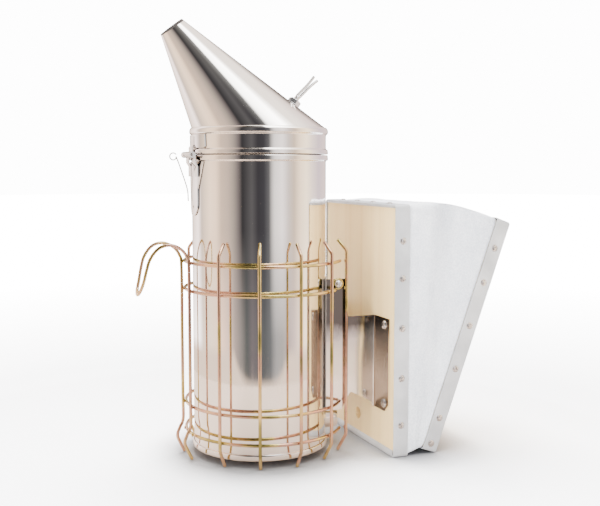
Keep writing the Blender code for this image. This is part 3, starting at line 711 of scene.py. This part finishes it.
collar_low, collar_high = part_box("lid_collar")
collar = lathe("lid_collar_band", soften([
    (POT - SHEET, collar_high.z - 0.0008), (POT + 0.0002, collar_high.z + 0.0001),
    (BEAD - 0.0002, collar_high.z - 0.0016), (BEAD, collar_high.z - 0.0030),
    (BEAD - 0.0001, collar_high.z - 0.0044), (POT + 0.0003, collar_high.z - 0.0054),
    (POT, collar_high.z - 0.0062), (POT, collar_low.z + 0.0045),
    (POT + 0.0003, collar_low.z + 0.0037), (BEAD - 0.0002, collar_low.z + 0.0033),
    (BEAD, collar_low.z + 0.0003), (BEAD - 0.0006, collar_low.z),
    (POT - SHEET, collar_low.z)], 0.0006), polish, 192)
stand_in(collar, "lid", "mirror_steel", "lid_collar")

CONE_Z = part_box("lid_cone")[0].z
MOUTH = Vector((-0.067, 0, 0.315))
MOUTH_R = 0.0096
mouth_tilt = math.radians(52.0)
mouth_up = Vector((math.sin(mouth_tilt), 0, math.cos(mouth_tilt)))


def cone_point(turn, rise, inset=0.0):
    """A point on the cone: turn about its axis, rise from 0 at the seam to 1 at the mouth."""
    foot = POT - 0.0002 - inset
    base = Vector((foot * math.cos(turn), foot * math.sin(turn), CONE_Z))
    aside = Vector((0, 1, 0))
    mouth = MOUTH + (MOUTH_R - inset) * (math.cos(turn) * mouth_up + math.sin(turn) * aside)
    return base.lerp(mouth, rise)


cone_polish = mirror_steel("cone_polish", (350.0, 350.0, 350.0))
TURNS = 192
# Up the outside as (rise, inset), over the cut edge and down the inside
stations = [(0.0, SHEET), (0.0, 0.0), (0.004, 0.0)]
stations += [(0.05 + 0.0945 * i, 0.0) for i in range(10)]
edge_station = len(stations)
stations += [(0.985, 0.0), (0.995, 0.0), (1.0, 0.00015), (1.0, SHEET - 0.00015), (0.995, SHEET)]
stations += [(0.9 - 0.1 * i, SHEET) for i in range(9)]
cone = bmesh.new()
skin(cone, [[cone.verts.new(cone_point(2 * math.pi * i / TURNS, rise, inset)) for i in range(TURNS)]
            for rise, inset in stations], closed=True, flip=True)
# Painted shade: the mouth's cut edge and everything inside the cone are coloured near black
painted_shade, shader, flow = start_finish("mouth_painted_shade", Roughness=0.7, Specular_IOR_Level=0.3)
feed(flow, shader, Base_Color=flow.noise(300.0, 4.0).blend(
    (0.012, 0.011, 0.011, 1), (0.045, 0.038, 0.034, 1)))
funnel = mesh_piece("lid_funnel", cone, cone_polish)
funnel.data.materials.append(painted_shade)
for face in funnel.data.polygons:
    if min(face.vertices) // TURNS >= edge_station:
        face.material_index = 1
stand_in(funnel, "lid", "mirror_steel", "lid_cone")

# Lid hinge, lid side: a leaf on the collar whose one knuckle sits between the strap's two
leaf_side = [(0.0185, 0.2276), (0.0194, 0.2284), (0.019, 0.2372)]
leaf_outline = [(-y, z) for y, z in reversed(leaf_side)] + leaf_side
leaf = hinge_half("hinge_lid_leaf", leaf_outline, [(-0.0043, 0.0043)],
                  PIN.z + 0.003, 0.2360, 0.2300)
stand_in(leaf, "lid", "mirror_steel", "hinge_leaf")


# Finger lift -------------------------------------------------
# A stud and nut on the cone's long back hold a split wire to lift the hot lid by: its two legs
# are pinched together and spring apart at their open ends.

lift_base = cone_point(0, 0.22)
ridge = (cone_point(0, 0.1) - cone_point(0, 0.3)).normalized()
lift_up = Vector((-ridge.z, 0, ridge.x))
on_cone = Matrix.Translation(lift_base) @ lift_up.to_track_quat("Z", "Y").to_matrix().to_4x4()

stud = lathe("lift_stud_bolt", soften([
    (0, 0.0098), (0.0019, 0.0098), (0.0021, 0.0080), (0.0021, 0.0014), (0.0052, 0.0012),
    (0.0054, 0.0003), (0, 0.0003)], 0.0005, closed=False), bright, 32, closed=False)
stud.data.transform(on_cone)
stand_in(stud, "lid", "bright_zinc", "lift_stud")
nut = lathe("lift_stud_nut", soften([
    (0.0022, 0.0060), (0.0044, 0.0060), (0.0052, 0.0055), (0.0052, 0.0021), (0.0044, 0.0016),
    (0.0022, 0.0016)], 0.0002), bright, 6)
for face in nut.data.polygons:
    face.use_smooth = False
nut.data.transform(on_cone)
stand_in(nut, "lid", "bright_zinc", "lift_nut")

LEAN = Vector((0.72, 0, 0.694))
ASIDE = Vector((LEAN.z, 0, -LEAN.x))
lift_foot = lift_base + lift_up * 0.0086
leg = [(0.0215, 0.0021), (0.018, 0.0016), (0.013, 0.00122), (0.006, 0.00120),
       (0.0022, 0.0012), (0.0004, 0.0010)]
lift_route = [lift_foot + LEAN * reach - ASIDE * aside for reach, aside in leg]
lift_route += [lift_foot - LEAN * 0.0002]
lift_route += [lift_foot + LEAN * reach + ASIDE * aside for reach, aside in reversed(leg)]
lift = sweep("lift_split_wire", catmull(lift_route, 8), 0.00112, bright, 14)
stand_in(lift, "lid", "bright_zinc", "lift_wire")


# Bellows boards ----------------------------------------------
# Two planed birch boards. The front one is drilled for the air and screwed to the bracket; the
# rear one tips about the leather fold at the foot.

birch, shader, flow = start_finish("birch", Roughness=0.5)
warp = flow.noise((14.0, 14.0, 3.0), 2.0)
figure = flow.noise((60.0, 85.0, 2.2), 4.0, 0.6, 0.4)
pores = flow.noise((1500.0, 1500.0, 60.0), 2.0).rise(0.58, 0.75)
wood = (figure * 0.65 + warp * 0.35).ramp(
    (0.34, 0.84, 0.56, 0.235), (0.48, 0.90, 0.63, 0.28), (0.60, 0.94, 0.68, 0.315),
    (0.72, 0.97, 0.72, 0.36))
feed(flow, shader, Base_Color=(pores * 0.18).blend(wood, (0.50, 0.33, 0.15, 1)),
     Roughness=0.42 + 0.2 * figure, Height=0.00003 * figure + (-0.00004) * pores)


THICK = 0.0107
WIDE = 0.1236


def planed_board(name, tall, turn):
    """A board that stands a little clear of its strip's foot, turned into place."""
    shape = bmesh.new()
    middle = Matrix.Translation((-THICK / 2, 0, 0.0022 + tall / 2))
    bmesh.ops.create_cube(shape, size=1.0, matrix=middle @ Matrix.Diagonal((THICK, WIDE, tall, 1)))
    shape.transform(turn)
    return mesh_piece(name, shape, birch)


front_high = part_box("front_board")[1]
AIR_Z = 0.0139
front_turn = Matrix.Translation((front_high.x, 0, FLOOR))
front_panel = planed_board("front_panel", 0.1866, front_turn)
cut(front_panel, bar((0.070, 0, AIR_Z), (0.110, 0, AIR_Z), 0.0047))
stand_in(round_edges(front_panel, 0.0005, 2, 60), "smoker_frame", "birch", "front_board")
TILT = math.radians(20.0)
REAR_X = 0.1093
rear_turn = (Matrix.Translation((REAR_X, 0, FLOOR + 0.011 * math.sin(TILT)))
             @ Matrix.Rotation(TILT, 4, "Y") @ Matrix.Rotation(math.pi, 4, "Z"))
rear_panel = planed_board("rear_panel", 0.1826, rear_turn)
stand_in(round_edges(rear_panel, 0.0005, 2, 60), "pressing_board", "birch", "rear_board")


# Edge strips -------------------------------------------------
# A flat band of thin galvanised steel runs round each board's edge over the leather's hem, its
# ends butted at the middle of the foot, and its front edge turned over the board's face.

galvanised, shader, flow = start_finish("galvanised_strip", Metallic=0.45)
speck = flow.noise(900.0, 4.0, 0.65)
cloud = flow.noise(34.0, 3.0)
grey = (cloud.rise(0.35, 0.65) * 0.6 + speck * 0.4).blend(
    (0.40, 0.42, 0.44, 1), (0.66, 0.68, 0.71, 1))
feed(flow, shader, Base_Color=grey, Roughness=0.36 + 0.18 * speck,
     Height=0.000016 * speck + 0.00012 * cloud)


STRIP = 0.0006
HALF_BAND = 0.064
CORNER = 0.0022
FRONT_TALL = 0.191
REAR_TALL = 0.187


def edge_band(name, node, tall, turn, body):
    """A section swept round the board: an outer leg over its edge, a rolled lip over its face."""
    path = []
    for y, z, start in ((-1, 0, 180), (1, 0, 270), (1, tall, 0), (-1, tall, 90)):
        centre = (y * (HALF_BAND - CORNER), z + (-CORNER if z else CORNER))
        bend = arc(centre, CORNER, start, start + 90, 5)
        path += [(spot, start + 18 * k) for k, spot in enumerate(bend)]
    dense = []
    for (spot, angle), (after, after_angle) in zip(path, path[1:] + path[:1]):
        count = max(1, round((after - spot).length / 0.006))
        dense += [(spot.lerp(after, k / count), angle + (after_angle - angle) % 360 * k / count)
                  for k in range(count)]
    shape = bmesh.new()
    rings = []
    for spot, angle in dense:
        out = toward(angle)
        lip = STRIP + 0.0044 * max(0.0, -out.y) ** 6 + 0.0020 * max(0.0, out.y) ** 6
        dent = 0.00018 * noise.noise(Vector((spot.x * 55, spot.y * 55, 3.7)))
        ring = []
        for x, inward in ((0.0006, 0.0), (0.0006, -STRIP), (-0.0105, -STRIP), (-0.0105, -lip),
                          (-0.0110, -lip), (-0.0115, -lip * 0.75), (-0.0117, -lip * 0.4),
                          (-0.0115, -0.0004), (-0.0111, 0.0)):
            place = spot + out * (inward + (dent if inward > -0.001 else 0))
            ring.append(shape.verts.new((x, place.x, place.y)))
        rings.append(ring)
    skin(shape, rings, closed=True, flip=True)
    bmesh.ops.recalc_face_normals(shape, faces=shape.faces)
    shape.transform(turn)
    band = mesh_piece(name, shape, galvanised)
    joint = [(-0.00025, -0.001), (0.00025, -0.001), (0.00035, 0.006), (-0.00015, 0.006)]
    cut(band, slab("joint", joint, -0.02, 0.002, turn @ ON_YZ, galvanised))
    return stand_in(round_edges(band, 0.00018, 2, 40), body, "grey_strip", node)


edge_band("front_edge_band", "front_strip", FRONT_TALL, front_turn, "smoker_frame")
edge_band("rear_edge_band", "rear_strip", REAR_TALL, rear_turn, "pressing_board")

# The nails: domed heads hammered a little out of true, with a dimple ring round each
tinned, shader, flow = start_finish("nail_heads", Metallic=1.0)
hammer = flow.noise(1100.0, 3.0, 0.6)
feed(flow, shader, Base_Color=hammer.rise(0.46, 0.62).blend(
    (0.80, 0.80, 0.82, 1), (0.16, 0.16, 0.17, 1)),
     Roughness=0.20 + 0.14 * hammer, Height=0.00005 * hammer)


NAIL = 0.0027
NAIL_ROWS = 9
NAIL_SIDES = 18


def nail_row(name, spots, turn, body):
    """Nails at (y, z, outward) places round a board's edge, all one piece."""
    shape = bmesh.new()
    across = Vector((1, 0, 0))
    for index, (y, z, out) in enumerate(spots):
        lift = Vector((0, *out))
        along = lift.cross(across)
        seat = Vector((-0.0052, y, z))
        rings = [[shape.verts.new(seat + lift * 0.0011)] * NAIL_SIDES]
        for row in range(1, NAIL_ROWS + 1):
            share = row / NAIL_ROWS
            rise = 0.0012 * math.cos(share * math.pi / 2) - 0.0001
            rise -= 0.00032 * math.exp(-((share - 0.60) / 0.13) ** 2)
            ring = []
            for i in range(NAIL_SIDES):
                spot = toward(360 * i / NAIL_SIDES)
                wobble = noise.noise(Vector((spot.x * 1.5, spot.y * 1.5, index * 5.3 + share)))
                swell = NAIL * math.sin(share * math.pi / 2) * (1 + 0.10 * wobble)
                ring.append(shape.verts.new(
                    seat + lift * rise + (across * spot.x + along * spot.y) * swell))
            rings.append(ring)
        rings.append([shape.verts.new(seat - lift * 0.0004)] * NAIL_SIDES)
        skin(shape, rings)
    bmesh.ops.recalc_face_normals(shape, faces=shape.faces)
    shape.transform(turn)
    return stand_in(mesh_piece(name, shape, tinned), body, "bright_zinc")


front_spots, rear_spots = [], []
for sign in (-1, 1):
    edge = sign * HALF_BAND
    front_spots += [(edge, z, (sign, 0)) for z in (0.0245, 0.0605, 0.0985, 0.1360, 0.1640)]
    rear_spots += [(edge, z, (sign, 0)) for z in (0.0060, 0.0265, 0.0660, 0.1010, 0.1360, 0.1640)]
for y in (-0.042, -0.014, 0.014, 0.042):
    front_spots.append((y, FRONT_TALL, (0, 1)))
    rear_spots.append((y, REAR_TALL, (0, 1)))
    rear_spots.append((y, 0.0, (0, -1)))
nail_row("front_nails", front_spots, front_turn, "smoker_frame")
nail_row("rear_nails", rear_spots, rear_turn, "pressing_board")


# Bellows leather ---------------------------------------------
# One band of white fine-grained leather wraps all four sides from board to board. It is cut wide
# at the top and narrow at the foot, crowns over the top, and hangs slack down the sides.

hide, shader, flow = start_finish("white_leather", Sheen_Weight=0.15, Specular_IOR_Level=0.35)
pebbles = flow.node("ShaderNodeTexVoronoi", {"feature": "SMOOTH_F1"}, {
    "Vector": flow.place(), "Scale": 1500.0, "Smoothness": 0.6})
grain = flow.noise(800.0, 4.0, 0.6)
creases = flow.noise((60.0, 60.0, 22.0), 5.0, 0.65)
mottle = flow.noise((34.0, 34.0, 15.0), 3.0, 0.6)
# The colour is darker in the crease hollows, painted shade in the creases; the grain and the mottle
# vary the tone
pale = (0.45 * grain.rise(0.38, 0.62) + 0.3 * creases.rise(0.38, 0.62)
        + 0.25 * mottle.rise(0.38, 0.62))
feed(flow, shader, Base_Color=pale.blend((0.56, 0.58, 0.64, 1), (0.93, 0.935, 0.96, 1)),
     Roughness=0.56 + 0.16 * grain,
     Height=0.00025 * pebbles + 0.00012 * grain + 0.0011 * creases)

# How many points lie up each side, over the top, and from one board to the other
UP_SIDE, OVER_TOP, ACROSS = 64, 44, 26
HIDE_HALF = 0.0632
HIDE_TALL = 0.19
HIDE_CORNER = 0.004


def sleeve_spot(around, across):
    """A point of the band: around is (y, height share, outward), across from front to rear."""
    y, rise, out = around
    front = Vector((front_high.x + 0.0008, y, FLOOR + 0.0006 + rise * (FRONT_TALL - 0.0012)))
    rear = rear_turn @ Vector((0.0008, -y, 0.0006 + rise * (REAR_TALL - 0.0012)))
    spot = front.lerp(rear, across)
    hold = math.sin(math.pi * across)
    if out[1] > 0:
        ripple = noise.noise(Vector((y * 60, across * 2.0, 1.0)))
        spot.z += hold * (0.0056 * out[1] + 0.0008 * ripple)
    # Down each side it bellies out near the front board and sags in towards the rear one
    dip = min(1.0, max(0.0, (across - 0.22 - 0.16 * (1 - rise)) / 0.72))
    belly = 0.0020 * math.sin(math.pi * min(1.0, across * 2.4))
    belly -= 0.0070 * math.sin(math.pi * dip) ** 2
    crumple = 0.0012 * noise.noise(Vector((across * 3.0 + 7, rise * 2.6, y * 4)))
    crumple += 0.0004 * noise.noise(Vector((across * 9.0, rise * 14.0, y * 9)))
    slack = out[0] * hold * (0.35 + 0.65 * rise)
    spot.y += slack * (belly * (rear - front).length / 0.06 + crumple * 2.2)
    return spot


def round_corner(y, rise, out):
    """Eases a point near one of the band's four corners off the sharp edge."""
    z = rise * HIDE_TALL
    reach = HIDE_HALF - HIDE_CORNER
    centre = Vector((max(-reach, min(reach, y)),
                     max(HIDE_CORNER, min(HIDE_TALL - HIDE_CORNER, z))))
    away = Vector((y, z)) - centre
    if min(abs(away.x), abs(away.y)) <= 1e-9:
        return y, rise, out
    away.normalize()
    eased = centre + away * HIDE_CORNER
    return eased.x, eased.y / HIDE_TALL, tuple(away)


up = [i / UP_SIDE for i in range(UP_SIDE)]
over = [HIDE_HALF - 2 * HIDE_HALF * i / OVER_TOP for i in range(OVER_TOP)]
around_list = [round_corner(HIDE_HALF, rise, (1, 0)) for rise in up]
around_list += [round_corner(y, 1.0, (0, 1)) for y in over]
around_list += [round_corner(-HIDE_HALF, 1 - rise, (-1, 0)) for rise in up]
around_list += [round_corner(-y, 0.0, (0, -1)) for y in over]
band = bmesh.new()
skin(band, [[band.verts.new(sleeve_spot(around, across / ACROSS)) for around in around_list]
            for across in range(ACROSS + 1)])
bmesh.ops.recalc_face_normals(band, faces=band.faces)
leather = mesh_piece("bellows_gusset", band, hide)
thickness = leather.modifiers.new("hide", "SOLIDIFY")
thickness.thickness = 0.0011
thickness.offset = -1
thickness.use_even_offset = True
settle(leather)
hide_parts("bellows_leather")
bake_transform(leather)
# How far each point has gone from the front board to the rear one, at its own height
for vert in leather.data.vertices:
    rear_x = REAR_X + max(vert.co.z - FLOOR, 0) * math.tan(TILT)
    share = (vert.co.x - front_high.x - 0.001) / (rear_x - front_high.x - 0.002)
    share = min(1.0, max(0.0, share))
    share * share * (3 - 2 * share)


# Bellows spring ----------------------------------------------
# A steel wire hairpin inside the leather. One leg lies along each board, and the bend at the foot
# pushes the boards apart.

front_face = front_high.x + 0.0022
spring_knots = [(front_face, 0.016, 0.120), (front_face, 0.016, 0.080),
                (front_face + 0.0006, 0.012, 0.035), (0.1005, 0.006, 0.0200), (0.1045, 0.0, 0.0150),
                (0.1105, -0.004, 0.0235)]
rear_leg = ((0.0026, -0.010, 0.045), (0.0022, -0.016, 0.085), (0.0022, -0.016, 0.125))
spring_knots += [rear_turn @ Vector(spot) for spot in rear_leg]
spring = sweep("bellows_hairpin", catmull(spring_knots, 8), 0.00125, blued, 12)
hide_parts("bellows_spring")
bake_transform(spring)


# Studio ------------------------------------------------------
# A white floor under even light, in a round pale room that only the polished metal can see. The
# room is darkest behind the camera, warm to each side, and has a dark slit across from the camera
# at the height of the pot's rim.

def ray(flow, kind):
    """1 for the rays of one kind, 0 for the others."""
    return flow.node("ShaderNodeLightPath", output=f"Is {kind} Ray")


floor_white, shader, flow = start_finish("floor_white", Roughness=0.34, Specular_IOR_Level=0.25,
                                         Emission_Strength=14.0)
# Its colour is darkened where the smoker shuts off the light, a painted contact shadow, and it
# fades into the white behind it far away
open_sky = flow.node("ShaderNodeAmbientOcclusion", {"samples": 8}, {"Distance": 0.045}, "AO") ** 3.0
seen = open_sky.blend((0.06, 0.06, 0.065, 1), (1.50, 1.50, 1.52, 1))
seen = ray(flow, "Camera").blend((0.80, 0.80, 0.80, 1), seen)
far = flow.node("ShaderNodeVectorMath", {"operation": "LENGTH"}, {0: flow.place()}, "Value")
fade = far.rise(0.35, 1.3) * ray(flow, "Camera")
feed(flow, shader, Base_Color=ray(flow, "Glossy").blend(seen, (0.47, 0.37, 0.30, 1)),
     Emission_Color=fade.blend((0, 0, 0, 1), (1, 1, 1, 1)))
floor_shape = bmesh.new()
bmesh.ops.create_circle(floor_shape, cap_ends=True, segments=96, radius=7.0)
floor = mesh_piece("studio_floor", floor_shape, floor_white)
floor.location.z = FLOOR

room_light = bpy.data.materials.new("room_light")
room_light.use_nodes = True
room_light.node_tree.nodes.clear()
flow = Flow(room_light.node_tree)
height = flow.place("Z")
heading = flow.math("ARCTAN2", flow.place("Y"), flow.place("X")) * (1 / (2 * math.pi))
turned = flow.node("ShaderNodeMath", {"operation": "FRACT"}, {0: heading + 290 / 360})
# What stands round the smoker at the height of its rim, of its foot, and above it
rim_level = turned.ramp(
    (0.06, 0.35, 0.3, 0.27), (0.1, 2.4, 1.9, 1.6), (0.171, 4.0, 3.3, 3.1), (0.205, 1.5, 1.2, 1.0),
    (0.267, 2.8, 2.1, 1.5), (0.302, 2.6, 1.9, 1.35), (0.33, 1.4, 1.05, 0.8),
    (0.364, 1.15, 0.88, 0.72), (0.388, 0.74, 0.62, 0.52), (0.41, 0.34, 0.29, 0.28),
    (0.43, 0.055, 0.053, 0.057), (0.471, 0.15, 0.145, 0.15), (0.497, 0.069, 0.065, 0.074),
    (0.522, 0.08, 0.078, 0.088), (0.545, 0.2, 0.2, 0.21), (0.568, 1.9, 1.8, 1.75),
    (0.6, 2.5, 2.3, 2.25), (0.63, 1.5, 1.3, 1.2), (0.657, 1.4, 1.1, 0.85), (0.689, 2.7, 2.1, 1.5),
    (0.724, 3.3, 2.7, 1.95), (0.763, 2.3, 1.9, 1.7), (0.812, 1.6, 1.3, 1.4), (0.9, 1.9, 1.5, 1.4),
    (0.94, 0.35, 0.3, 0.27))
foot_level = turned.ramp(
    (0.0, 2.4, 1.9, 1.6), (0.171, 5.0, 4.6, 4.5), (0.21, 2.2, 1.8, 1.5), (0.267, 2.55, 2.05, 1.55),
    (0.335, 2.6, 1.75, 1.3), (0.364, 1.9, 1.38, 1.13), (0.393, 0.86, 0.68, 0.61),
    (0.419, 0.5, 0.44, 0.41), (0.446, 0.16, 0.175, 0.172), (0.471, 0.28, 0.245, 0.255),
    (0.522, 0.165, 0.175, 0.18), (0.548, 0.25, 0.26, 0.27), (0.574, 0.7, 0.68, 0.68),
    (0.6, 0.79, 0.75, 0.71), (0.628, 1.03, 0.86, 0.8), (0.657, 1.55, 1.2, 1.1),
    (0.724, 3.6, 2.8, 2.0), (0.763, 2.8, 2.2, 1.75), (1.0, 2.4, 1.9, 1.6))
high_level = turned.ramp(
    (0.0, 3.0, 2.6, 2.3), (0.171, 4.5, 3.8, 3.5), (0.24, 2.2, 1.75, 1.4), (0.272, 2.0, 1.5, 1.2),
    (0.29, 0.5, 0.38, 0.33), (0.312, 1.3, 1.0, 0.86), (0.35, 0.95, 0.76, 0.65),
    (0.376, 0.3, 0.26, 0.23), (0.394, 0.065, 0.058, 0.05), (0.44, 0.12, 0.115, 0.105),
    (0.49, 0.24, 0.235, 0.225), (0.535, 0.48, 0.48, 0.47), (0.556, 9.0, 9.0, 8.8),
    (0.66, 12.0, 12.0, 12.0), (0.71, 6.0, 5.8, 5.5), (0.76, 3.2, 2.9, 2.6), (1.0, 3.0, 2.6, 2.3))
lower = height.rise(0.045, 0.150).blend(foot_level, rim_level)
round_room = height.rise(0.40, 0.60).blend(lower, high_level)
# The floor's own light fills in below a line that dips behind the camera
aside = (turned - 0.508) * 8.5
skirt = height - flow.math("MINIMUM", aside * aside * aside * aside * 0.03, 0.03)
round_room = skirt.rise(-0.009, 0.004).blend((2.05, 1.58, 1.24, 1), round_room)
glow = flow.node("ShaderNodeEmission", None, {"Color": round_room, "Strength": 1.0})
sink = flow.tree.nodes.new("ShaderNodeOutputMaterial")
flow.tree.links.new(glow.socket, sink.inputs["Surface"])

ROOM = 0.30
ROOM_TALL = 1.6
room_shape = bmesh.new()
bmesh.ops.create_cone(room_shape, segments=96, radius1=ROOM, radius2=ROOM, depth=ROOM_TALL,
                      matrix=Matrix.Translation((0, 0, ROOM_TALL / 2 + FLOOR + 0.0002)))
room = mesh_piece("studio_room", room_shape, room_light)
for kind in ("camera", "diffuse", "shadow", "transmission", "volume_scatter"):
    setattr(room, f"visible_{kind}", False)


def lamp(name, size, power, place, aim):
    """A soft square lamp that leaves no square in the steel."""
    data = bpy.data.lights.new(name, "AREA")
    data.size = size
    data.energy = power
    made = bpy.data.objects.new(name, data)
    made.location = place
    made.rotation_euler = (Vector(aim) - Vector(place)).to_track_quat("-Z", "Y").to_euler()
    made.visible_glossy = False
    bpy.context.scene.collection.objects.link(made)


lamp("top_lamp", 0.8, 100.0, (0.12, 0.42, 1.5), (0.04, 0, 0.05))
lamp("front_lamp", 1.2, 46.0, (-0.2, -1.5, 0.8), (0.05, 0, 0.12))
lamp("left_lamp", 1.0, 42.0, (-1.5, -0.5, 0.6), (0.05, 0, 0.12))

world = bpy.data.worlds.new("studio")
world.use_nodes = True
flow = Flow(world.node_tree)
sky = ray(flow, "Camera").blend((1.2, 1.2, 1.2, 1), (14.0, 14.0, 14.0, 1))
sky = ray(flow, "Glossy").blend(sky, (4.0, 3.7, 3.4, 1))
world.node_tree.links.new(sky.socket, world.node_tree.nodes["Background"].inputs["Color"])
bpy.context.scene.world = world
